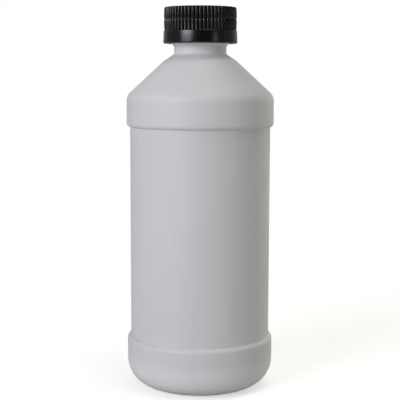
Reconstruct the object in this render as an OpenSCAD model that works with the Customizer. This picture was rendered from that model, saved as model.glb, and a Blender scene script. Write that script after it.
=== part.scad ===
// Round plastic bottle with a recessed label panel and a two-piece ratchet screw cap.
// Millimetres, +Z up the bottle's axis, origin at the middle of the foot on the table.

/* [Body] */
// Largest diameter, across the two bands
body_d = 70.4; // [64:0.2:90]
// Depth of the label panel below the bands
label_recess = 1.65; // [1:0.05:2.2]
// Height of the label panel
label_h = 98.6; // [60:0.2:140]
// Height of the lower band above the table
lower_band_h = 23.4; // [20:0.1:40]
// Height of the soft lip from the lower band in to the label panel
lower_lip_h = 3; // [1.6:0.1:4]
// Radius that rounds the lower band's upper edge
lower_lip_round = 3; // [2:0.1:7]
// Height of the round lip from the label panel out to the upper band
upper_lip_h = 1.1; // [0.8:0.1:3]
// Radius that rounds the upper band's lower edge
upper_lip_round = 2.4; // [1.2:0.1:4]
// Height of the upper band
upper_band_h = 14.2; // [9:0.2:24]
// Radius that rounds the foot into the lower band
foot_round = 13; // [6:0.5:15]
// Width of the flat ring that the bottle stands on
foot_ring_w = 2.4; // [1.5:0.1:4]
// Height of the push-up in the middle of the base
push_up_h = 2.6; // [1.5:0.1:4]
// Wall of the base
base_wall = 1.5; // [1:0.1:2.5]
// Wall of the body and the shoulder
body_wall = 1.05; // [0.7:0.05:1.6]

/* [Shoulder and neck] */
// Slope of the shoulder cone, in degrees from level
shoulder_slope = 42.7; // [36:0.1:50]
// Radius that rounds the upper band into the shoulder
shoulder_round = 5; // [2:0.5:8]
// Diameter of the collar, where the shoulder gets flatter round the neck
collar_d = 34.4; // [30:0.2:40]
// Slope of the collar, in degrees from level
collar_slope = 32.5; // [25:0.5:35]
// Diameter of the bare neck, which is also the root of its thread
neck_d = 24.85; // [22:0.05:28]
// Wall of the neck
neck_wall = 1.75; // [1.3:0.05:2.5]
// Height of bare neck between the collar and the bead
bare_neck_h = 3.7; // [2.5:0.1:8]
// Height by which the bead stands out from the neck
bead_proud = 1.35; // [0.8:0.05:1.5]
// Height of the bead's straight edge
bead_edge_h = 0.55; // [0.4:0.05:1]
// Slope of the bead's underside, in degrees from level
bead_under_slope = 49; // [35:1:60]
// Height of the neck finish, from the bead's upper edge to the sealing land
finish_h = 10.6; // [10.2:0.1:12]

/* [Screw thread] */
// Rise of the cap in one turn
thread_pitch = 4.23; // [3.8:0.01:4.6]
// Height by which the thread stands out from the neck
thread_proud = 1.3; // [0.9:0.05:1.5]
// Length of the thread on the neck, in turns
thread_turns = 1.2; // [0.8:0.05:1.3]
// Width of the thread at its root
thread_root_w = 2.2; // [1.8:0.1:2.4]
// Width of the thread at its crest
thread_crest_w = 0.9; // [0.6:0.1:1.2]
// Bare height between the sealing land and the thread
thread_lead_in = 1.1; // [0.8:0.1:1.6]

/* [Cap] */
// Height of the outer cap
cap_h = 17; // [16:0.1:18.5]
// Draft of the grip ribs, in degrees
cap_draft = 0.7; // [0:0.1:1]
// Wall of the outer cap at the top of its skirt
cap_wall = 1.45; // [1.2:0.05:2]
// Thickness of the outer cap's top
cap_top = 1.5; // [1.1:0.1:2]
// Radius of the outer cap's top edge
cap_edge_round = 0.5; // [0.3:0.1:0.9]
// Height of the smooth skirt below the grip ribs
skirt_h = 6.1; // [4.5:0.1:8]
// Width by which the skirt flares out towards its foot
skirt_flare = 0.2; // [0.05:0.05:0.5]
// Radius of the skirt's lower edge
skirt_foot_round = 0.6; // [0.3:0.05:0.8]
// Number of grip ribs
rib_count = 58; // [40:1:66]
// Width of a rib's crest
rib_crest_w = 0.35; // [0.2:0.05:0.6]
// Width of the floor of the groove between two ribs
rib_floor_w = 0.3; // [0.2:0.05:0.5]
// Depth of the groove between two ribs
rib_groove_depth = 0.6; // [0.3:0.05:0.7]
// Height of the fine ring line below the top of the cap
ring_line_drop = 6.1; // [4.5:0.1:7.5]
// Width of the fine ring line
ring_line_w = 0.9; // [0.5:0.1:1.2]
// Depth of the fine ring line
ring_line_depth = 0.3; // [0.1:0.05:0.4]
// Wall of the inner cap's skirt
inner_wall = 1.1; // [0.9:0.05:1.6]
// Thickness of the inner cap's top
inner_top = 1.5; // [1.2:0.1:2]
// Height of the inner cap's skirt below its catch
inner_foot_drop = 1.75; // [1:0.05:2.2]
// Thickness of the liner
liner_t = 1.2; // [0.8:0.1:1.6]

/* [Ratchet] */
// Number of teeth on the inner cap, and of lugs in the outer cap
tooth_count = 12; // [8:1:12]
// Height of the teeth
tooth_h = 1.4; // [1.1:0.1:1.8]
// Width of a tooth or a lug at its root
tooth_w = 2.3; // [1.8:0.1:2.5]
// Width of a tooth or a lug at its tip
tooth_tip_w = 0.8; // [0.5:0.1:1.2]
// Length of a tooth or a lug, towards the middle of the cap
tooth_len = 3.2; // [2:0.1:4]
// Height of the catch that keeps the outer cap on the inner cap
catch_h = 0.9; // [0.7:0.1:1.2]
// Depth by which the two halves of the catch hook behind each other
catch_lap = 0.3; // [0.2:0.05:0.6]

/* [Clearances] */
// Between pieces that turn or slide past each other, on the radius
running_gap = 0.3; // [0.2:0.05:0.5]
// Between the two threads, along the axis, with the cap screwed down
thread_gap = 0.2; // [0.15:0.05:0.4]
// Between the tip of a lug and the inner cap's top, and in the raised catch
lug_gap = 0.2; // [0.1:0.05:0.4]
// Between the lugs and the teeth, when the outer cap rides over them
pass_gap = 0.1; // [0.05:0.05:0.2]
// Between the liner and the inner cap's bore, on the radius
liner_gap = 0.15; // [0.1:0.05:0.3]

/* [Hidden] */

$fn = 96;
arc_step = 7.5;
thread_step = 9;
thread_fade_steps = 5;
thread_end = 0.1;
sink = 0.4;
small_round = 0.3;
push_up_round = 3;
foot_ring_round = 1.5;
label_foot_round = 5;
label_top_round = 0.4;
even_share = 0.49;
outer_share = 0.75;
collar_round = 5;
neck_round = 1.2;
bead_top_slope = 31;
skirt_ledge_h = 0.2;
skirt_ledge = 0.1;

// Radii, from the neck out to the outer cap
body_r = body_d / 2;
label_r = body_r - label_recess;
collar_r = collar_d / 2;
neck_r = neck_d / 2;
bead_r = neck_r + bead_proud;
thread_r = neck_r + thread_proud;
bore_r = thread_r + running_gap;
cap_thread_r = neck_r + running_gap;
inner_r = bore_r + inner_wall;
catch_bead_r = inner_r + running_gap;
catch_rim_r = catch_bead_r + catch_lap;
cap_inside_r = catch_rim_r + running_gap;
cap_r = cap_inside_r + cap_wall;
rib_foot_r = cap_r - skirt_ledge;
rib_pitch = 2 * PI * rib_foot_r / rib_count;
tooth_out_r = inner_r - 2 * small_round;

// Heights of the body
foot_ring_r = body_r - foot_round - foot_ring_w;
push_up_r = foot_ring_r - push_up_h;
label_z0 = lower_band_h + lower_lip_h;
label_z1 = label_z0 + label_h;
upper_band_z = label_z1 + upper_lip_h;
shoulder_z = upper_band_z + upper_band_h;
collar_z = shoulder_z + (body_r - collar_r) * tan(shoulder_slope);
neck_z = collar_z + (collar_r - neck_r) * tan(collar_slope);

// Heights of the neck finish
bead_z0 = neck_z + bare_neck_h;
bead_z1 = bead_z0 + bead_proud * tan(bead_under_slope);
bead_z2 = bead_z1 + bead_edge_h;
bead_z3 = bead_z2 + bead_proud * tan(bead_top_slope);
land_z = bead_z2 + finish_h;

// Heights of the cap, from the sealing land up and then down the skirts
inner_ceiling_z = land_z + liner_t;
inner_top_z = inner_ceiling_z + inner_top;
ceiling_z = inner_top_z + tooth_h;
cap_top_z = ceiling_z + cap_top;
cap_foot_z = cap_top_z - cap_h;
rib_z0 = cap_foot_z + skirt_h;
ring_line_z = cap_top_z - ring_line_drop;
lug_h = tooth_h - lug_gap;
cap_play = lug_h + pass_gap;
catch_z0 = cap_foot_z + catch_h / 2;
catch_z1 = catch_z0 + catch_h;
catch_rim_z0 = catch_z1 + cap_play + lug_gap;
catch_rim_z1 = catch_rim_z0 + catch_h;
inner_foot_z = catch_rim_z0 - inner_foot_drop;

// Places of the two threads, which share one helix
thread_z1 = land_z - thread_lead_in - thread_root_w / 2;
thread_z0 = thread_z1 - thread_pitch * thread_turns;
thread_end_angle = 360 * thread_turns;
thread_taper = (thread_root_w - thread_crest_w) / 2;
thread_apart = thread_gap + max([for (r = [cap_thread_r, thread_r])
    thread_half(r, neck_r - sink, thread_r) + thread_half(r, bore_r + sink, cap_thread_r)]);
cap_thread_z = thread_z0 - thread_apart;
cap_thread_start = 360 * (inner_foot_z + small_round + thread_root_w / 2 - cap_thread_z) / thread_pitch;

// Corner lists hold radius, height, fillet and the wall of the edge that follows
body_corners = [
    [0, push_up_h, 0, base_wall],
    [push_up_r, push_up_h, push_up_round, base_wall],
    [foot_ring_r, 0, foot_ring_round, base_wall],
    [body_r, 0, foot_round, body_wall],
    [body_r, lower_band_h, lip_fillet(lower_lip_round, lower_lip_h, even_share), body_wall],
    [label_r, label_z0, lip_fillet(label_foot_round, lower_lip_h, even_share), body_wall],
    [label_r, label_z1, lip_fillet(label_top_round, upper_lip_h, 1 - outer_share), body_wall],
    [body_r, upper_band_z, lip_fillet(upper_lip_round, upper_lip_h, outer_share), body_wall],
    [body_r, shoulder_z, shoulder_round, body_wall],
    [collar_r, collar_z, collar_round, body_wall],
    [neck_r, neck_z, neck_round, neck_wall],
    [neck_r, land_z, small_round, neck_wall]
];

finish_corners = [
    [neck_r, bead_z0, small_round],
    [bead_r, bead_z1, small_round],
    [bead_r, bead_z2, small_round],
    [neck_r, bead_z3, small_round],
    [neck_r, land_z, small_round]
];

inner_cap_corners = [
    [0, inner_top_z, 0],
    [inner_r, inner_top_z, small_round],
    [inner_r, catch_rim_z1 + catch_h / 2, 0],
    [catch_rim_r, catch_rim_z1, 0],
    [catch_rim_r, catch_rim_z0, 0],
    [inner_r, catch_rim_z0, 0],
    [inner_r, inner_foot_z, small_round],
    [bore_r, inner_foot_z, small_round],
    [bore_r, inner_ceiling_z, 0],
    [0, inner_ceiling_z, 0]
];

outer_cap_corners = [
    [0, ceiling_z, 0],
    [cap_inside_r, ceiling_z, small_round],
    [cap_inside_r, catch_z1, 0],
    [catch_bead_r, catch_z1 - catch_h / 4, 0],
    [catch_bead_r, catch_z0 + catch_h / 4, 0],
    [cap_inside_r, catch_z0, 0],
    [cap_inside_r, cap_foot_z, 0],
    [cap_r + skirt_flare, cap_foot_z, skirt_foot_round],
    [cap_r, rib_z0 - skirt_ledge_h, 0],
    [rib_foot_r, rib_z0, 0],
    [rib_crest_r(ring_line_z - ring_line_w / 2), ring_line_z - ring_line_w / 2, 0],
    [rib_crest_r(ring_line_z) - ring_line_depth, ring_line_z, 0],
    [rib_crest_r(ring_line_z + ring_line_w / 2), ring_line_z + ring_line_w / 2, 0],
    [rib_crest_r(cap_top_z), cap_top_z, cap_edge_round],
    [0, cap_top_z, 0]
];

// Radius across the crests of the grip ribs at a height
function rib_crest_r(z) = rib_foot_r - (z - rib_z0) * tan(cap_draft);

// A fillet on a lip of the label panel, which takes at most its share of the lip's slant
function lip_fillet(radius, lip_h, share) =
    min(radius, share * norm([label_recess, lip_h]) / tan(atan2(label_recess, lip_h) / 2));

// Half the width of a thread at a radius, between its buried root and its crest
function thread_half(r, buried_r, crest_r) =
    thread_root_w / 2 - thread_taper * (r - buried_r) / (crest_r - buried_r);

function unit(v) = v / norm(v);
function left_of(v) = [-v[1], v[0]];
function turned(v, a) = [v[0] * cos(a) - v[1] * sin(a), v[0] * sin(a) + v[1] * cos(a)];
function point(corner) = [corner[0], corner[1]];
function without_last(list) = [for (i = [0 : len(list) - 2]) list[i]];

// The angle by which an outline turns at a corner, positive to the left
function turn_at(before, corner, after) =
    atan2(cross(corner - before, after - corner), (corner - before) * (after - corner));

// The arc that rounds one corner of an outline
function rounded_corner(before, corner, after, radius) =
    let (turn = turn_at(before, corner, after))
    let (way_in = unit(corner - before))
    let (start = corner - way_in * radius * tan(abs(turn) / 2))
    let (centre = start + left_of(way_in) * radius * sign(turn))
    let (steps = ceil(abs(turn) / arc_step))
    [for (i = [0 : steps]) centre + turned(start - centre, turn * i / steps)];

// An outline with each corner rounded by its own fillet
function rounded(corners) =
    let (last = len(corners) - 1)
    [for (i = [0 : last]) each (i == 0 || i == last || corners[i][2] == 0
        ? [point(corners[i])]
        : rounded_corner(point(corners[i - 1]), point(corners[i]), point(corners[i + 1]), corners[i][2]))];

// One edge of an outline moved inwards by its wall, as a point and a direction
function wall_edge(corners, i) =
    let (way = unit(point(corners[i + 1]) - point(corners[i])))
    [point(corners[i]) + left_of(way) * corners[i][3], way];

// The point where two such edges meet
function meeting(a, b) = a[0] + a[1] * cross(b[0] - a[0], b[1]) / cross(a[1], b[1]);

// The fillet on the inside of a wall: smaller where the outline turns left, larger where it turns right
function inside_fillet(corners, i) =
    let (turn = turn_at(point(corners[i - 1]), point(corners[i]), point(corners[i + 1])))
    max(small_round, corners[i][2] - sign(turn) * max(corners[i - 1][3], corners[i][3]));

// The inside of a walled outline, listed from its end back to its start
function inside(corners) =
    let (last = len(corners) - 1)
    [for (i = [last : -1 : 0])
        i == last ? [wall_edge(corners, last - 1)[0][0], corners[last][1], small_round]
        : i == 0 ? concat(wall_edge(corners, 0)[0], 0)
        : concat(meeting(wall_edge(corners, i - 1), wall_edge(corners, i)), inside_fillet(corners, i))];

// A screw thread of trapezoid section that grows out of a wall and sinks back into it at both ends
module thread(root_r, crest_r, z, start_angle) {
    out = sign(crest_r - root_r);
    buried_r = root_r - out * sink;
    end_r = buried_r + out * thread_end;
    turn = thread_end_angle - start_angle;
    steps = ceil(turn / thread_step);
    function crest(i) = end_r + (crest_r - end_r) * min(1, min(i, steps - i) / thread_fade_steps);
    function place(i, r, half_w) = let (a = start_angle + turn * i / steps)
        [r * cos(a), r * sin(a), z + thread_pitch * a / 360 + half_w * out];
    points = [for (i = [0 : steps]) each [
        place(i, buried_r, -thread_root_w / 2),
        place(i, crest(i), -thread_crest_w / 2),
        place(i, crest(i), thread_crest_w / 2),
        place(i, buried_r, thread_root_w / 2)]];
    sides = [for (i = [0 : steps - 1], j = [0 : 3])
        let (a = 4 * i + j, b = 4 * i + (j + 1) % 4)
        each [[b, b + 4, a + 4], [b, a + 4, a]]];
    ends = [[3, 2, 1, 0], [for (j = [0 : 3]) 4 * steps + j]];
    polyhedron(points, concat(sides, ends));
}

// A ratchet tooth that points along +X, upright on one flank and ramped on the other
module tooth(h, upright_side) {
    half = tooth_w / 2;
    translate([tooth_out_r - tooth_len, 0, 0])
        rotate([90, 0, 90])
            linear_extrude(tooth_len)
                polygon([
                    [-half, -sink],
                    [half, -sink],
                    [upright_side > 0 ? half : tooth_tip_w - half, h],
                    [upright_side > 0 ? half - tooth_tip_w : -half, h]]);
}

// The groove between two ribs, along +X: a narrow floor between two sloping flanks
module rib_groove() {
    floor_r = rib_foot_r - rib_groove_depth;
    flanks_w = (rib_pitch - rib_crest_w - rib_floor_w) * (cap_r - floor_r) / rib_groove_depth;
    open_w = rib_floor_w + flanks_w;
    linear_extrude(cap_h)
        polygon([
            [floor_r, -rib_floor_w / 2],
            [cap_r, -open_w / 2],
            [cap_r, open_w / 2],
            [floor_r, rib_floor_w / 2]]);
}

module ring_of(count, first_angle = 0) {
    for (i = [0 : count - 1])
        rotate(first_angle + i * 360 / count) children();
}

// The blown body: a shell of one outline and its inside, with the thread moulded on the neck
module bottle() {
    color([0.77, 0.77, 0.78]) union() {
        rotate_extrude()
            polygon(rounded(concat(without_last(body_corners), finish_corners, inside(body_corners))));
        thread(neck_r, thread_r, thread_z0, 0);
    }
}

// The sealing disc, clamped between the land and the inner cap
module liner() {
    color([0.93, 0.93, 0.91])
        translate([0, 0, land_z])
            cylinder(r = bore_r - liner_gap, h = liner_t);
}

// The cap that screws on the neck, with ratchet teeth on its top and a catch rim on its skirt
module inner_cap() {
    color([0.90, 0.90, 0.89]) union() {
        rotate_extrude() polygon(rounded(inner_cap_corners));
        thread(bore_r, cap_thread_r, cap_thread_z, cap_thread_start);
        translate([0, 0, inner_top_z])
            ring_of(tooth_count) tooth(tooth_h, 1);
    }
}

// The gripped cap that idles over the inner cap until it is pressed down
module outer_cap() {
    color([0.07, 0.07, 0.07]) union() {
        difference() {
            rotate_extrude() polygon(rounded(outer_cap_corners));
            translate([0, 0, rib_z0])
                ring_of(rib_count) rib_groove();
        }
        translate([0, 0, ceiling_z])
            mirror([0, 0, 1])
                ring_of(tooth_count, 180 / tooth_count) tooth(lug_h, -1);
    }
}

bottle();
liner();
inner_cap();
outer_cap();
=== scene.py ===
# %% [markdown]
# # A round plastic bottle with a ratchet screw cap
# The bottle is blown in one piece from pale plastic. On its neck sits a cap of two shells: a white
# one that holds the thread, and a black one with grip ribs that turns idle until it is pressed
# down. A foam disc seals the mouth. The CAD model gives the place and size of these four pieces.
# This script draws each of them again with softer edges and finer detail, gives it its finish, and
# sets up the light and the camera.

# %% Load the frame
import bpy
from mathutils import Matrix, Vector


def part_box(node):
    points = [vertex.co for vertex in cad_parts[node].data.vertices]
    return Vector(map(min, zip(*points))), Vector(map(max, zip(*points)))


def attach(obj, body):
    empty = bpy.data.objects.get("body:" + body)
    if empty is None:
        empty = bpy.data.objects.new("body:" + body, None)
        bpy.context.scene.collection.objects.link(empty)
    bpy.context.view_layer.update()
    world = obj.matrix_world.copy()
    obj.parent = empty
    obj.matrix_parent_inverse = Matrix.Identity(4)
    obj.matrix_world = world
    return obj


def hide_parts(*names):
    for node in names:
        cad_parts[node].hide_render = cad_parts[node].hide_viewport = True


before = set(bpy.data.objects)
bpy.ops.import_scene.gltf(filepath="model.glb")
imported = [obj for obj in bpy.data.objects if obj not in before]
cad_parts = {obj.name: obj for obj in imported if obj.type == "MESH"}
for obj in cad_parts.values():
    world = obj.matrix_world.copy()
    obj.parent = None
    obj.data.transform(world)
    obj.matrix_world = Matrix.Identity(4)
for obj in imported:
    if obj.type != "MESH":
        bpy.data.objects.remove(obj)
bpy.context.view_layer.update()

# %% Units and the sizes that the frame already knows
import math
import bmesh
import bpy
from mathutils import Matrix, Vector
from mathutils.geometry import intersect_line_line

MM = 0.001


def in_mm(node):
    """Half width, lowest and highest point of a CAD node, in millimetres."""
    low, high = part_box(node)
    return (high.x - low.x) / 2 / MM, low.z / MM, high.z / MM


body_r, _, land_z = in_mm("bottle")
liner_r, _, inner_ceiling_z = in_mm("liner")
_, inner_foot_z, tooth_tip_z = in_mm("inner_cap")
skirt_foot_r, cap_foot_z, cap_top_z = in_mm("outer_cap")
print(f"bottle {2 * body_r:.1f} mm across and {land_z:.1f} mm to its mouth")
print(f"cap {2 * skirt_foot_r:.1f} mm across")

# %% [markdown]
# ## The camera
# The camera stands at the height of the shoulder, half a metre away, and looks down a little. Its
# focal length is worked out from how much the bottle narrows towards the table. The last angle is a
# slight lean of the picture.

# %% Camera
picture_px, focal_px = 400, 1051.5
camera_away, camera_height = 505.3, 152.0
look_down = math.radians(6.987)
picture_lean = math.radians(0.126)

camera = bpy.data.objects.new("camera", bpy.data.cameras.new("camera"))
camera.location = (0, -camera_away * MM, camera_height * MM)
tilt = Matrix.Rotation(math.pi / 2 - look_down, 3, "X")
camera.rotation_euler = (tilt @ Matrix.Rotation(picture_lean, 3, "Z")).to_euler()
camera.data.sensor_width = 36
camera.data.lens = focal_px / picture_px * camera.data.sensor_width
scene = bpy.context.scene
scene.collection.objects.link(camera)
scene.camera = camera
scene.view_settings.view_transform = "Standard"
print(f"camera lens {camera.data.lens:.1f} mm")

# %% [markdown]
# ## Writing shaders as sums
# A finish is mostly arithmetic: a cloud of noise times a small number, added to a colour or a
# roughness. Wiring that by hand takes many Math nodes, so one small class wraps a socket and lets
# Python's own signs add them. Every other kind of node comes from its `node` method.


# %% Shader sums
class Wire:
    """One output socket of a node tree, which can be added, multiplied and fed into other nodes."""

    def __init__(self, socket):
        self.socket = socket

    def node(self, kind, settings=None, inputs=None, output=0):
        """Adds a node: its settings are set first, then its sockets are filled or linked."""
        tree = self.socket.id_data
        made = tree.nodes.new(kind)
        for name, value in (settings or {}).items():
            setattr(made, name, value)
        for name, value in (inputs or {}).items():
            if isinstance(value, Wire):
                tree.links.new(value.socket, made.inputs[name])
            else:
                made.inputs[name].default_value = value
        return Wire(made.outputs[output]) if made.outputs else None

    def math(self, operation, first, second):
        return self.node("ShaderNodeMath", {"operation": operation}, {0: first, 1: second})

    def __add__(self, other):
        return self.math("ADD", self, other)

    def __sub__(self, other):
        return self.math("SUBTRACT", self, other)

    def __rsub__(self, other):
        return self.math("SUBTRACT", other, self)

    def __mul__(self, other):
        return self.math("MULTIPLY", self, other)

    __radd__ = __add__
    __rmul__ = __mul__


# %% [markdown]
# ## Light
# The main light is a large soft window at the front left. One lamp could serve for it, but its foot
# is dimmer than the rest, and the black skirt mirrors that foot as an upright streak, so it is
# built from two. A narrow strip at the front right draws the second, fainter streak, and a lamp
# above brightens the shoulder and the lip over the lower band. A lamp behind on the right lights
# the rim of the bottle from the back. The cap would mirror it as a hard line, so it is kept out of
# reflections.

# %% Lamps
window_tint = (0.955, 0.98, 1.06)
ceiling_tint = (1.0, 0.99, 0.97)
strip_tint = (1.0, 0.99, 0.96)
glow_tint = (1.0, 0.985, 0.92)
lit_middle = Vector((0, 0, 90 * MM))


def softbox(name, azimuth, height, distance, size, radiance, tint, mirrored=True):
    """A soft lamp facing the bottle; azimuth 0 is the camera's side, positive is to the right."""
    lamp = bpy.data.lights.new(name, "AREA")
    lamp.shape = "RECTANGLE"
    lamp.size, lamp.size_y = size
    lamp.energy = radiance * math.pi * size[0] * size[1]
    lamp.color = tint
    box = bpy.data.objects.new(name, lamp)
    turn = math.radians(azimuth)
    box.location = (distance * math.sin(turn), -distance * math.cos(turn), height)
    box.rotation_euler = (lit_middle - box.location).to_track_quat("-Z", "Y").to_euler()
    box.visible_glossy = mirrored
    scene.collection.objects.link(box)
    print(f"{name}: {lamp.energy:.2f} W")


softbox("window_light", azimuth=-43, height=0.54, distance=1.0, size=(0.54, 0.36),
        radiance=8.3, tint=window_tint)
softbox("window_foot", azimuth=-43, height=0.285, distance=1.0, size=(0.54, 0.15),
        radiance=6.0, tint=window_tint)
softbox("ceiling_light", azimuth=50, height=1.34, distance=0.36, size=(0.6, 0.6),
        radiance=3.7, tint=ceiling_tint)
softbox("pale_strip", azimuth=47, height=0.25, distance=1.0, size=(0.14, 0.30),
        radiance=2.0, tint=strip_tint)
softbox("back_glow", azimuth=138, height=0.25, distance=1.0, size=(0.5, 0.5),
        radiance=4.6, tint=glow_tint, mirrored=False)

# %% [markdown]
# ## Room and floor
# To the camera the room is plain white. To a matt surface it is a weak fill, about twice as strong
# at the back. To a glossy surface it is dim in front, pale behind and white straight behind, which
# is why the black cap is dark in the middle and bright at its two edges. One picture of a room
# could serve for all three, but then a brighter edge on the cap would also wash out the bottle, so
# the kind of ray decides. The floor is a matt pale sheet. The camera sees it lifted to white, only
# partly near the bottle, where it keeps the soft shadow, and wholly further away, where it meets
# the room.

# %% Room
white = (1, 1, 1, 1)
room_tint = (1.0, 0.995, 0.93, 1)
dim_front, pale_side, pale_back = 0.02, 0.20, 0.22
even_fill, back_fill = 0.245, 0.33

room = bpy.data.worlds.new("room")
scene.world = room
room.use_nodes = True
air = room.node_tree
air.nodes.clear()
ray = air.nodes.new("ShaderNodeLightPath").outputs
way = Wire(air.nodes.new("ShaderNodeTexCoord").outputs["Generated"])
depth = way.node("ShaderNodeSeparateXYZ", None, {"Vector": way}, "Y")


def between(low, high):
    """Rises from 0 to 1 as the room goes from one depth to another; -1 is in front and 1 behind."""
    return way.node("ShaderNodeMapRange", {"interpolation_type": "SMOOTHSTEP"},
                    {"Value": depth, "From Min": low, "From Max": high})


glossy = Wire(ray["Is Glossy Ray"])
mirrored = dim_front + pale_side * between(-0.9, 0.0) + pale_back * between(0.3, 0.95)
soft_fill = even_fill + back_fill * between(0.1, 0.9)
pale = soft_fill * (1 - glossy) + mirrored * glossy
lit_room = way.node("ShaderNodeBackground", None, {"Color": room_tint, "Strength": pale})
white_room = way.node("ShaderNodeBackground", None, {"Color": white, "Strength": 1.0})
seen = Wire(ray["Is Camera Ray"]) + Wire(ray["Is Transmission Ray"]) + glossy * between(0.96, 1)
shown = way.node("ShaderNodeMixShader", None, {"Fac": seen, 1: lit_room, 2: white_room})
way.node("ShaderNodeOutputWorld", None, {"Surface": shown})
print("room nodes:", len(air.nodes))

# %% Floor sheet
floor_half_width = 3
floor_mesh = bmesh.new()
bmesh.ops.create_grid(floor_mesh, x_segments=4, y_segments=4, size=floor_half_width)
floor_data = bpy.data.meshes.new("floor")
floor_mesh.to_mesh(floor_data)
floor_mesh.free()
floor = bpy.data.objects.new("floor", floor_data)
scene.collection.objects.link(floor)
print(f"floor {2 * floor_half_width} m across")

# %% Floor finish
paper_tint = (0.62, 0.62, 0.61, 1)
partly_white = 0.55
shadow_kept_to, white_from = 0.12, 0.40

paper = bpy.data.materials.new("white_paper")
paper.use_nodes = True
sheet_tree = paper.node_tree
sheet_tree.nodes.clear()
ray = sheet_tree.nodes.new("ShaderNodeLightPath").outputs
spot = Wire(sheet_tree.nodes.new("ShaderNodeTexCoord").outputs["Object"])
lit = spot.node("ShaderNodeBsdfDiffuse", None, {"Color": paper_tint})
glow = spot.node("ShaderNodeEmission", None, {"Color": white, "Strength": partly_white})
lifted = spot.node("ShaderNodeAddShader", None, {0: lit, 1: glow})
far_white = spot.node("ShaderNodeEmission", None, {"Color": white, "Strength": 1.0})
away = spot.node("ShaderNodeVectorMath", {"operation": "LENGTH"}, {0: spot}, "Value")
far = spot.node("ShaderNodeMapRange", {"interpolation_type": "SMOOTHSTEP"},
                {"Value": away, "From Min": shadow_kept_to, "From Max": white_from})
shown = spot.node("ShaderNodeMixShader", None, {"Fac": far, 1: lifted, 2: far_white})
seen = Wire(ray["Is Camera Ray"]) + Wire(ray["Is Transmission Ray"])
surface = spot.node("ShaderNodeMixShader", None, {"Fac": seen, 1: lit, 2: shown})
spot.node("ShaderNodeOutputMaterial", None, {"Surface": surface})
floor.data.materials.append(paper)
print("white_paper:", len(sheet_tree.nodes), "nodes")

# %% [markdown]
# ## Turning a shape on a lathe
# All four pieces are round, so each starts as half of its own section: a few corner points, joined
# up. A vertex bevel rounds every corner by its own fillet, which keeps the corner list short and
# the radii true. Long straight stretches are cut into short ones, so that smooth shading doesn't
# bend over them, and `spin` turns the line round the axis. A full spin merges its last column with
# its first, and merging doubles closes the two poles.

# %% Outline and lathe
arc_step = math.radians(9)
small_fillet, small_step = 0.35, 3 * arc_step
weld = 0.0005


def outline(corners, longest):
    """A rounded half section in the XZ plane, from corners of radius, height and fillet in mm."""
    line = bmesh.new()
    chain = [line.verts.new((radius, 0, height)) for radius, height, *_ in corners]
    for start, end in zip(chain, chain[1:]):
        line.edges.new((start, end))
    rounds = []
    for before, corner, after, (_, _, fillet, *_) in zip(chain, chain[1:], chain[2:], corners[1:]):
        turn = (corner.co - before.co).angle(after.co - corner.co)
        if fillet:
            step = arc_step if fillet > small_fillet else small_step
            rounds.append((corner, fillet * math.tan(turn / 2), math.ceil(turn / step)))
    for corner, setback, segments in rounds:
        bmesh.ops.bevel(line, geom=[corner], offset=setback, offset_type="OFFSET",
                        segments=segments, profile=0.5, affect="VERTICES", material=-1,
                        clamp_overlap=False)
    for edge in [e for e in line.edges if e.calc_length() > longest]:
        cuts = math.ceil(edge.calc_length() / longest) - 1
        bmesh.ops.subdivide_edges(line, edges=[edge], cuts=cuts)
    return line


def whole(shape):
    """All the vertices, edges and faces of a shape."""
    return shape.verts[:] + shape.edges[:] + shape.faces[:]


def close_up(shape):
    """Merges the doubles that a spin leaves, and points the faces outwards."""
    bmesh.ops.remove_doubles(shape, verts=shape.verts[:], dist=weld)
    bmesh.ops.recalc_face_normals(shape, faces=shape.faces[:])


def turn_on_lathe(line, columns):
    """Spins a half section into a closed round solid."""
    bmesh.ops.spin(line, geom=whole(line), cent=(0, 0, 0), axis=(0, 0, 1),
                   angle=2 * math.pi, steps=columns, use_merge=True)
    close_up(line)


# %% Finished pieces
sharp_from = math.radians(38)


def finish_piece(shape, name, body, material):
    """Brings a shape from mm to metres, and makes it a piece that stands for its CAD node."""
    bmesh.ops.scale(shape, vec=(MM, MM, MM), verts=shape.verts[:])
    for face in shape.faces:
        face.smooth = True
    for edge in shape.edges:
        edge.smooth = edge.calc_face_angle(math.pi) < sharp_from
    mesh = bpy.data.meshes.new(name)
    shape.to_mesh(mesh)
    open_edges = sum(not edge.is_manifold for edge in shape.edges)
    triangles = sum(len(face.verts) - 2 for face in shape.faces)
    shape.free()
    piece = bpy.data.objects.new(name, mesh)
    scene.collection.objects.link(piece)
    mesh.materials.append(material)
    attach(piece, body)
    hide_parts(body)
    print(f"{name}: {triangles} triangles, {open_edges} open edges")


# %% [markdown]
# ## Finish of the blown bottle
# The wall is pale grey polyethylene with a satin skin. The mould is lightly grained, so the gloss
# breaks up, and the tube of melt that was blown leaves faint upright streaks. The wall cooled
# unevenly, so its reflections waver a little over a few centimetres. A painted picture could hold
# all this, but it would need a flat layout of the bottle. Clouds of noise in Object coordinates
# need none. The streaks are one of them, stretched along the axis, and all are weak enough that the
# colour stays calm. The foot and the neck are painted paler: this is painted light, which brightens
# them where the lamps leave them darker than the rest of the wall.

# %% Helpers for plastic finishes
def new_finish(name, **constants):
    """A plastic finish: its shader with constants set on it, and the coordinates for patterns."""
    material = bpy.data.materials.new(name)
    material.use_nodes = True
    tree = material.node_tree
    shader = tree.nodes["Principled BSDF"]
    for socket, value in constants.items():
        shader.inputs[socket].default_value = value
    place = Wire(tree.nodes.new("ShaderNodeTexCoord").outputs["Object"])
    return material, shader, place


def stretched(place, scale):
    return place.node("ShaderNodeMapping", None, {"Vector": place, "Scale": scale})


def cloud(place, size_mm, detail=2.0):
    """Soft noise about zero, with spots of about this size."""
    settings = {"noise_dimensions": "3D", "normalize": True}
    inputs = {"Vector": place, "Scale": 1 / (size_mm * MM), "Detail": detail, "Roughness": 0.5}
    return place.node("ShaderNodeTexNoise", settings, inputs) - 0.5


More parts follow.
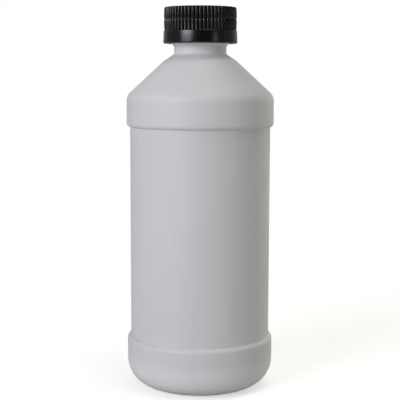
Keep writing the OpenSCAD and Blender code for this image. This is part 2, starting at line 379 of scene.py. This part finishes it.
def tinted(place, dark, light, share):
    """A colour between two others."""
    inputs = {"Factor": share, 6: dark, 7: light}
    return place.node("ShaderNodeMix", {"data_type": "RGBA"}, inputs, 2)


def give(shader, name, wire):
    shader.id_data.links.new(wire.socket, shader.inputs[name])


def relief(shader, place, height, depth_mm):
    """Feeds a height, in shares of a depth, to the shader as bump."""
    inputs = {"Height": height, "Distance": depth_mm * MM, "Strength": 1.0}
    give(shader, "Normal", place.node("ShaderNodeBump", None, inputs))


def height_band(place, from_mm, to_mm):
    """Rises from 0 to 1 between two heights, or falls towards the table if the second is lower."""
    height = place.node("ShaderNodeSeparateXYZ", None, {"Vector": place}, "Z")
    return place.node("ShaderNodeMapRange", {"interpolation_type": "SMOOTHSTEP"},
                      {"Value": height, "From Min": from_mm * MM, "From Max": to_mm * MM})


# %% Satin polyethylene
satin_darker, satin_paler = (0.575, 0.577, 0.585, 1), (0.705, 0.707, 0.715, 1)
along_axis = (1, 1, 0.03)
# Heights in mm of the painted light: the wall is painted paler towards the table and up the neck.
painted_light_foot, painted_light_neck = (19, 7), (156, 161)

satin, shader, place = new_finish("satin_polyethylene", IOR=1.52)
grain = cloud(place, 0.5, 3.0)
waver = cloud(place, 28, 1.0)
streaks = cloud(stretched(place, along_axis), 2.2)
# Painted light: the foot and the neck are painted paler, standing in for light the lamps give too
# little of there.
painted_light = 1.3 * height_band(place, *painted_light_foot) + 0.5 * height_band(place, *painted_light_neck)
tone_and_painted_light = 0.2 + 0.7 * painted_light + 0.3 * streaks + 0.25 * cloud(place, 40)
give(shader, "Base Color", tinted(place, satin_darker, satin_paler, tone_and_painted_light))
give(shader, "Roughness", 0.52 + 0.10 * grain + 0.08 * streaks)
relief(shader, place, 0.015 * grain + 1.0 * waver + 0.01 * streaks, depth_mm=0.1)
print("satin_polyethylene:", len(satin.node_tree.nodes), "nodes")

# %% [markdown]
# ## The blown bottle
# One line draws the whole outside: the push-up under the base, the ring it stands on, the lower
# band, the recessed label panel, the upper band, the sloping shoulder, and the neck with its bead.
# The inside is the same line moved in by the wall. It could be a Solidify modifier, but the base
# and the neck are thicker than the body, so each edge carries its own wall and the inner corners
# are where the moved edges meet.

# %% Outside of the bottle
base_wall, body_wall, neck_wall = 1.5, 1.05, 1.75
edge_round = 0.3
foot_ring_r, push_up = body_r - 15.4, 2.6
label_r, label_z0, label_z1 = body_r - 1.65, 24.7, 125.5
lip_rise, lip_round, crease_round = 0.45, 2.0, 0.15
shoulder_z, collar_r, neck_r = 140.3, 17.2, 12.425
shoulder_slope, collar_slope = math.radians(42.7), math.radians(32.5)
collar_z = shoulder_z + (body_r - collar_r) * math.tan(shoulder_slope)
neck_z = collar_z + (collar_r - neck_r) * math.tan(collar_slope)

# radius, height, fillet, wall of the edge that starts here
body_corners = [
    (0, push_up, 0, base_wall),
    (foot_ring_r - push_up, push_up, 3, base_wall),
    (foot_ring_r, 0, 1.5, base_wall),
    (body_r, 0, 13, body_wall),
    (body_r, label_z0 - lip_rise, lip_round, body_wall),
    (label_r, label_z0, crease_round, body_wall),
    (label_r, label_z1, crease_round, body_wall),
    (body_r, label_z1 + lip_rise, lip_round, body_wall),
    (body_r, shoulder_z, 5, body_wall),
    (collar_r, collar_z, 5, body_wall),
    (neck_r, neck_z, 1.2, neck_wall),
    (neck_r, land_z, edge_round, neck_wall),
]
print(f"shoulder from {shoulder_z} to {collar_z:.1f} mm, neck from {neck_z:.1f} mm")

# %% Bead on the neck
neck_below_bead, bead_proud, bead_flat = 3.7, 1.35, 0.55
under_bead, over_bead = math.radians(49), math.radians(31)
bead_r = neck_r + bead_proud
bead_z0 = neck_z + neck_below_bead
bead_z1 = bead_z0 + bead_proud * math.tan(under_bead)
bead_z2 = bead_z1 + bead_flat
bead_z3 = bead_z2 + bead_proud * math.tan(over_bead)
neck_corners = [
    (neck_r, bead_z0, edge_round),
    (bead_r, bead_z1, edge_round),
    (bead_r, bead_z2, edge_round),
    (neck_r, bead_z3, edge_round),
    (neck_r, land_z, edge_round),
]
print(f"bead from {bead_z0:.1f} to {bead_z3:.1f} mm")


# %% Inside of the bottle
def inside_of(corners):
    """The inner side of a wall, from the mouth back down to the axis."""
    moved = []
    for (r0, z0, _, wall), (r1, z1, *_) in zip(corners, corners[1:]):
        along = Vector((r1 - r0, 0, z1 - z0)).normalized()
        moved.append((Vector((r0, 0, z0)) + Vector((-along.z, 0, along.x)) * wall, along))
    inner = [(0, moved[0][0].z, 0)]
    for (from_a, way_a), (from_b, way_b), corner in zip(moved, moved[1:], corners[1:]):
        meeting, _ = intersect_line_line(from_a, from_a + way_a, from_b, from_b + way_b)
        left_turn = way_a.x * way_b.z - way_a.z * way_b.x > 0
        fillet = corner[2] - corner[3] if left_turn else corner[2] + corner[3]
        inner.append((meeting.x, meeting.z, max(edge_round, fillet)))
    inner.append((moved[-1][0].x, corners[-1][1], edge_round))
    return inner[::-1]


inside_corners = inside_of(body_corners)
bottle_shape = outline(body_corners[:-1] + neck_corners + inside_corners, longest=3.0)
turn_on_lathe(bottle_shape, columns=160)
print(f"mouth {2 * inside_corners[0][0]:.1f} mm across")

# %% [markdown]
# ## Marks of the mould
# The two halves of the mould meet at the left and right side of the bottle and leave a fine raised
# line there. Under the base the melt tube was pinched shut between them, which leaves a wider seam
# across the push-up. Cuts with `bisect_plane` set narrow strips beside the line where the mould
# closed, and lifting the line between them makes the seam as real shape. Bump would do for the
# looks, but then a printed part would lose it.

# %% Parting line and pinched seam
parting_half_width, parting_proud = 0.14, 0.05
pinch_half_width, pinch_proud = 0.45, 0.25
parting_from_z, pinch_half_length = 2, foot_ring_r - 4.5
facing_out, facing_down = 0.2, -0.9
for half_width in (parting_half_width, pinch_half_width):
    for side in (-1, 1):
        bmesh.ops.bisect_plane(bottle_shape, geom=whole(bottle_shape), dist=0.0001,
                               plane_co=(0, side * half_width, 0), plane_no=(0, 1, 0))
bottle_shape.normal_update()
lifted_verts = 0
for vert in bottle_shape.verts:
    radius = math.hypot(vert.co.x, vert.co.y)
    on_line = abs(vert.co.y) < 0.001
    outside = vert.normal.x * vert.co.x > facing_out * radius and vert.co.z > parting_from_z
    if on_line and outside:
        vert.co += vert.normal * parting_proud
        lifted_verts += 1
    in_strip = abs(vert.co.y) < 0.2 and radius < pinch_half_length
    if in_strip and vert.normal.z < facing_down and vert.co.z < push_up + 0.1:
        vert.co.z -= pinch_proud
        lifted_verts += 1
print("vertices lifted for the mould marks:", lifted_verts)

# %% [markdown]
# ## Screw threads
# A thread is a small section carried along a helix. A Screw modifier could carry it, but its ends
# would be cut off bluntly. `spin` makes a helix when each step also moves by a little of the pitch.
# The section starts inside the wall, so the ridge grows out of it, and it is pulled back into the
# wall over the first and last stretch, as a moulded thread fades out.

# %% Thread helper
thread_pitch, thread_fade = 4.23, 0.11
thread_half_foot, thread_half_crest, thread_round = 1.1, 0.45, 0.22
thread_buried, least_share, steps_per_turn = 0.4, 0.08, 60


def join_part(shape, part):
    """Adds a part that was made by itself to a larger shape."""
    carrier = bpy.data.meshes.new("carrier")
    part.to_mesh(carrier)
    part.free()
    shape.from_mesh(carrier)
    bpy.data.meshes.remove(carrier)


def add_thread(shape, wall_r, crest_r, start_turn, start_z, turns):
    """Adds a helical ridge on a wall, which fades into it at both ends."""
    buried_r = wall_r - math.copysign(thread_buried, crest_r - wall_r)
    ridge = bmesh.new()
    section = [(buried_r, -thread_half_foot), (crest_r, -thread_half_crest),
               (crest_r, thread_half_crest), (buried_r, thread_half_foot)]
    ring = [ridge.verts.new((radius, 0, start_z + height)) for radius, height in section]
    for start, end in zip(ring, ring[1:] + ring[:1]):
        ridge.edges.new((start, end))
    bmesh.ops.bevel(ridge, geom=ring[1:3], offset=thread_round, offset_type="OFFSET", segments=3,
                    profile=0.5, affect="VERTICES", material=-1, clamp_overlap=False)
    bmesh.ops.rotate(ridge, verts=ridge.verts[:], cent=(0, 0, 0),
                     matrix=Matrix.Rotation(2 * math.pi * start_turn, 3, "Z"))
    steps = round(turns * steps_per_turn)
    bmesh.ops.spin(ridge, geom=whole(ridge), cent=(0, 0, 0), axis=(0, 0, 1), steps=steps,
                   angle=2 * math.pi * turns, dvec=(0, 0, thread_pitch * turns / steps))
    for vert in ridge.verts:
        angle = math.atan2(vert.co.y, vert.co.x) / (2 * math.pi) - start_turn
        along = angle + round((vert.co.z - start_z) / thread_pitch - angle)
        share = max(least_share, min(1, along / thread_fade, (turns - along) / thread_fade))
        radius = math.hypot(vert.co.x, vert.co.y)
        pull = (buried_r + (radius - buried_r) * share) / radius
        bmesh.ops.scale(ridge, vec=(pull, pull, 1), verts=[vert])
    bmesh.ops.holes_fill(ridge, edges=[e for e in ridge.edges if e.is_boundary], sides=0)
    bmesh.ops.recalc_face_normals(ridge, faces=ridge.faces[:])
    print(f"thread of {turns:.2f} turns, {len(ridge.faces)} faces")
    join_part(shape, ridge)


# %% Neck thread
thread_turns, thread_proud, thread_top_gap = 1.2, 1.3, 1.1
thread_r = neck_r + thread_proud
thread_z0 = land_z - thread_top_gap - thread_half_foot - thread_pitch * thread_turns
add_thread(bottle_shape, neck_r, thread_r, 0.0, thread_z0, thread_turns)
finish_piece(bottle_shape, "blown_bottle", "bottle", satin)

# %% [markdown]
# ## The foam liner
# The liner is punched from a sheet of white foam with a skin on both faces. It is clamped on the
# land, which presses a shallow ring into its underside. The ring is real shape, as it can be felt.
# The foam's cells show only at a close look, and there are thousands of them, so they are a fine
# bump.

# %% Foam liner
foam_dark, foam_light = (0.80, 0.80, 0.77, 1), (0.90, 0.90, 0.87, 1)
cells_per_metre = 3200.0
foam, shader, place = new_finish("pressed_foam", IOR=1.45)
cells = place.node("ShaderNodeTexVoronoi", {"feature": "F1"},
                   {"Vector": place, "Scale": cells_per_metre}, "Distance")
give(shader, "Base Color", tinted(place, foam_dark, foam_light, 0.5 + 1.2 * cloud(place, 3, 3.0)))
give(shader, "Roughness", 0.70 + 0.15 * cloud(place, 1.5))
relief(shader, place, cells, depth_mm=0.02)

pressed_z = land_z + 0.05
liner_shape = outline([
    (0, land_z, 0),
    (10.9, land_z, 0.1),
    (11.1, pressed_z, 0.1),
    (12.2, pressed_z, 0.1),
    (12.4, land_z, 0.1),
    (liner_r, land_z, 0.12),
    (liner_r, inner_ceiling_z, 0.12),
    (0, inner_ceiling_z, 0),
], longest=1.5)
turn_on_lathe(liner_shape, columns=128)
finish_piece(liner_shape, "foam_liner", "liner", foam)

# %% [markdown]
# ## The threaded inner cap
# The white inner cap carries the thread that meets the one on the neck, a ring of ratchet teeth on
# its top and a rim on its skirt that keeps the black cap from coming off. A tooth is upright on one
# flank and ramped on the other. Twelve teeth could be drawn one by one, but they are all the same,
# so one is drawn as a flat shape, extruded and bevelled, and `spin` with duplicates repeats it.

# %% Ratchet teeth
tooth_count, tooth_outer_r, tooth_length = 12, 14.525, 3.2
tooth_half, tooth_tip, tooth_buried, tooth_round = 1.15, 0.8, 0.3, 0.14


def add_teeth(shape, root_z, height, upright_side, first_angle):
    """Adds a ring of ratchet teeth: upwards for a positive height, and down for a negative one."""
    sunk = -math.copysign(tooth_buried, height)
    tip_from = tooth_half if upright_side > 0 else tooth_tip - tooth_half
    tip_to = tip_from - tooth_tip
    flank = [(-tooth_half, sunk), (tooth_half, sunk), (tip_from, height), (tip_to, height)]
    inner_end = tooth_outer_r - tooth_length
    tooth = bmesh.new()
    face = tooth.faces.new([tooth.verts.new((inner_end, y, root_z + z)) for y, z in flank])
    grown = bmesh.ops.extrude_face_region(tooth, geom=[face])["geom"]
    bmesh.ops.translate(tooth, vec=(tooth_length, 0, 0),
                        verts=[v for v in grown if isinstance(v, bmesh.types.BMVert)])
    bmesh.ops.bevel(tooth, geom=tooth.edges[:], offset=tooth_round, offset_type="OFFSET",
                    segments=2, profile=0.5, affect="EDGES", material=-1)
    bmesh.ops.recalc_face_normals(tooth, faces=tooth.faces[:])
    bmesh.ops.rotate(tooth, verts=tooth.verts[:], cent=(0, 0, 0),
                     matrix=Matrix.Rotation(first_angle, 3, "Z"))
    print(f"{tooth_count} teeth of {abs(height):.1f} mm, {len(tooth.faces)} faces each")
    repeats = tooth_count - 1
    bmesh.ops.spin(tooth, geom=whole(tooth), cent=(0, 0, 0), axis=(0, 0, 1), steps=repeats,
                   angle=2 * math.pi * repeats / tooth_count, use_duplicate=True)
    join_part(shape, tooth)


# %% Milky polypropylene
milky_dark, milky_light = (0.76, 0.76, 0.74, 1), (0.82, 0.82, 0.81, 1)
milky, shader, place = new_finish("milky_polypropylene", IOR=1.49)
flow = cloud(stretched(place, (1, 1, 0.2)), 5)
give(shader, "Base Color", tinted(place, milky_dark, milky_light, 0.5 + 1.1 * flow))
give(shader, "Roughness", 0.36 + 0.14 * cloud(place, 0.8, 3.0))
relief(shader, place, cloud(place, 0.35), depth_mm=0.004)
print("milky_polypropylene:", len(milky.node_tree.nodes), "nodes")

# %% Inner cap
clearance, top_wall = 0.3, 1.5
bore_r, inner_r, rim_r = thread_r + clearance, thread_r + 1.4, thread_r + 2.0
inner_top_z = inner_ceiling_z + top_wall
rim_z0 = inner_foot_z + 1.75
inner_shape = outline([
    (0, inner_top_z, 0),
    (inner_r, inner_top_z, edge_round),
    (inner_r, rim_z0 + 1.35, 0.2),
    (rim_r, rim_z0 + 0.9, 0.12),
    (rim_r, rim_z0, 0.12),
    (inner_r, rim_z0, 0.12),
    (inner_r, inner_foot_z, edge_round),
    (bore_r, inner_foot_z, edge_round),
    (bore_r, inner_ceiling_z, edge_round),
    (0, inner_ceiling_z, 0),
], longest=1.5)
turn_on_lathe(inner_shape, columns=120)

thread_drop, foot_margin = 1.482, 0.3
cap_thread_r = neck_r + clearance
cap_thread_z = thread_z0 - thread_drop
lowest_z = inner_foot_z + foot_margin + thread_half_foot
cap_thread_start = (lowest_z - cap_thread_z) / thread_pitch
add_thread(inner_shape, bore_r, cap_thread_r, cap_thread_start,
           cap_thread_z + thread_pitch * cap_thread_start, thread_turns - cap_thread_start)
tooth_height = tooth_tip_z - inner_top_z
add_teeth(inner_shape, inner_top_z, tooth_height, upright_side=1, first_angle=0.0)
finish_piece(inner_shape, "threaded_inner_cap", "inner_cap", milky)

# %% [markdown]
# ## The black grip cap
# This cap hides the rest of the closure. It has a plain top, fine upright ribs with a ring line cut
# across them, and a smooth skirt. The ribs could be 58 separate rods, but on the real cap they are
# one piece with its wall. So one slice of the cap is turned, from the middle of a groove to the
# middle of the next, its columns are pressed in along a round crest and two steep flanks, and
# `spin` repeats the slice. Under the ring line each rib leans in for a millimetre, so that it
# catches a bright dot there. A small mark is left in the middle of the top, where the plastic came
# in.

# %% Rib crests
rib_count, columns_per_rib = 58, 16
skirt_top_r = skirt_foot_r - 0.2
rib_foot_r = skirt_top_r - 0.1
rib_z0 = cap_foot_z + 6.1
ring_line_z = cap_top_z - 5.4
facet_z = ring_line_z - 1.35
rib_lean = math.tan(math.radians(0.7))
rib_sink = 0.26


def crest_r(height):
    """Radius at the rib crests: they lean in, twice as much above the line, and sink at the foot."""
    sunk = rib_sink * max(0, 1 - (height - rib_z0) / (facet_z - rib_z0))
    leaned = (height - rib_z0 + max(0, height - ring_line_z)) * rib_lean
    return rib_foot_r - leaned - sunk


rib_pitch = 2 * math.pi * rib_foot_r / rib_count
print(f"{rib_count} ribs, {rib_pitch:.2f} mm apart")

# %% Grip cap outline
catch_overlap = 0.3
ceiling_z = cap_top_z - top_wall
cap_inside_r, catch_r = rim_r + clearance, rim_r - catch_overlap
top_lean_z = cap_top_z - 1.4
gate_z, gate_pip_z = cap_top_z - 0.25, cap_top_z - 0.05
cut_foot_z, cut_floor_z, cut_top_z = ring_line_z - 0.35, ring_line_z - 0.1, ring_line_z + 0.26
facet_depth, cut_depth, top_lean = 0.19, 0.36, 0.13
inner_side = [
    (0, ceiling_z, 0),
    (cap_inside_r, ceiling_z, edge_round),
    (cap_inside_r, cap_foot_z + 1.35, 0.1),
    (catch_r, cap_foot_z + 1.125, 0.1),
    (catch_r, cap_foot_z + 0.675, 0.1),
    (cap_inside_r, cap_foot_z + 0.45, 0.1),
    (cap_inside_r, cap_foot_z, 0.15),
]
outer_side = [
    (skirt_foot_r, cap_foot_z, 0.6),
    (skirt_top_r, rib_z0 - 0.2, 0.3),
    (crest_r(rib_z0), rib_z0, 0),
    (crest_r(rib_z0), rib_z0 + 0.03, 0),
    (crest_r(facet_z), facet_z, 0.5),
    (crest_r(ring_line_z) - facet_depth, cut_foot_z, 0.05),
    (crest_r(ring_line_z) - cut_depth, cut_floor_z, 0.02),
    (crest_r(cut_top_z), cut_top_z, 0.02),
    (crest_r(top_lean_z), top_lean_z, 3),
    (crest_r(cap_top_z) - top_lean, cap_top_z, 0.4),
    (1.5, cap_top_z, 0.1),
    (1.3, gate_z, 0.1),
    (0.5, gate_z, 0.1),
    (0.4, gate_pip_z, 0.1),
    (0, gate_pip_z, 0),
]
grip_shape = outline(inner_side + outer_side, longest=5.0)
print("points in the grip cap's outline:", len(grip_shape.verts))

# %% One rib, and its repeats
rib_angle = 2 * math.pi / rib_count
crest_round, groove_depth = 0.78, 0.85
rib_flank = math.radians(60)
pressed_from_z, inner_wall_to = rib_z0 + 0.02, cap_inside_r + 0.4
bmesh.ops.spin(grip_shape, geom=whole(grip_shape), cent=(0, 0, 0), axis=(0, 0, 1),
               angle=rib_angle, steps=columns_per_rib)
for vert in grip_shape.verts:
    radius = math.hypot(vert.co.x, vert.co.y)
    if vert.co.z < pressed_from_z or radius < inner_wall_to:
        continue
    angle = math.atan2(vert.co.y, vert.co.x)
    from_crest = rib_foot_r * abs(angle - rib_angle / 2)
    on_arc = min(from_crest, crest_round * math.sin(rib_flank))
    arc_fall = crest_round - math.sqrt(crest_round ** 2 - on_arc ** 2)
    fall = arc_fall + (from_crest - on_arc) * math.tan(rib_flank)
    share = min(1, max(radius - fall, crest_r(vert.co.z) - groove_depth) / radius)
    bmesh.ops.scale(grip_shape, vec=(share, share, 1), verts=[vert])
bmesh.ops.spin(grip_shape, geom=whole(grip_shape), cent=(0, 0, 0), axis=(0, 0, 1),
               angle=2 * math.pi - rib_angle, steps=rib_count - 1, use_duplicate=True)
close_up(grip_shape)
print("faces in one rib and its part of the cap:", len(grip_shape.faces) // rib_count)

# %% [markdown]
# ## Finish of the grip cap
# The cap is black polypropylene from a polished mould: nearly black, with a clear streak where the
# lamp mirrors in it. An even gloss would do from afar, but close by it looks like lacquer. Handling
# dulls the real cap unevenly, and its moulding grain is about a tenth of a millimetre, so two
# clouds change roughness and bump. The colour hardly varies.

# %% Grip cap
black_deep, black_worn = (0.0014, 0.0014, 0.0016, 1), (0.0030, 0.0030, 0.0033, 1)
black, shader, place = new_finish("black_polypropylene", IOR=1.49)
handled = cloud(place, 6, 3.0)
grain = cloud(place, 0.12)
give(shader, "Base Color", tinted(place, black_deep, black_worn, 0.5 + 1.2 * handled))
give(shader, "Roughness", 0.25 + 0.08 * handled + 0.05 * grain)
relief(shader, place, grain, depth_mm=0.002)

lug_gap = 0.2
lug_height = tooth_height - lug_gap
add_teeth(grip_shape, ceiling_z, -lug_height, upright_side=-1, first_angle=math.pi / tooth_count)
finish_piece(grip_shape, "grip_cap", "outer_cap", black)
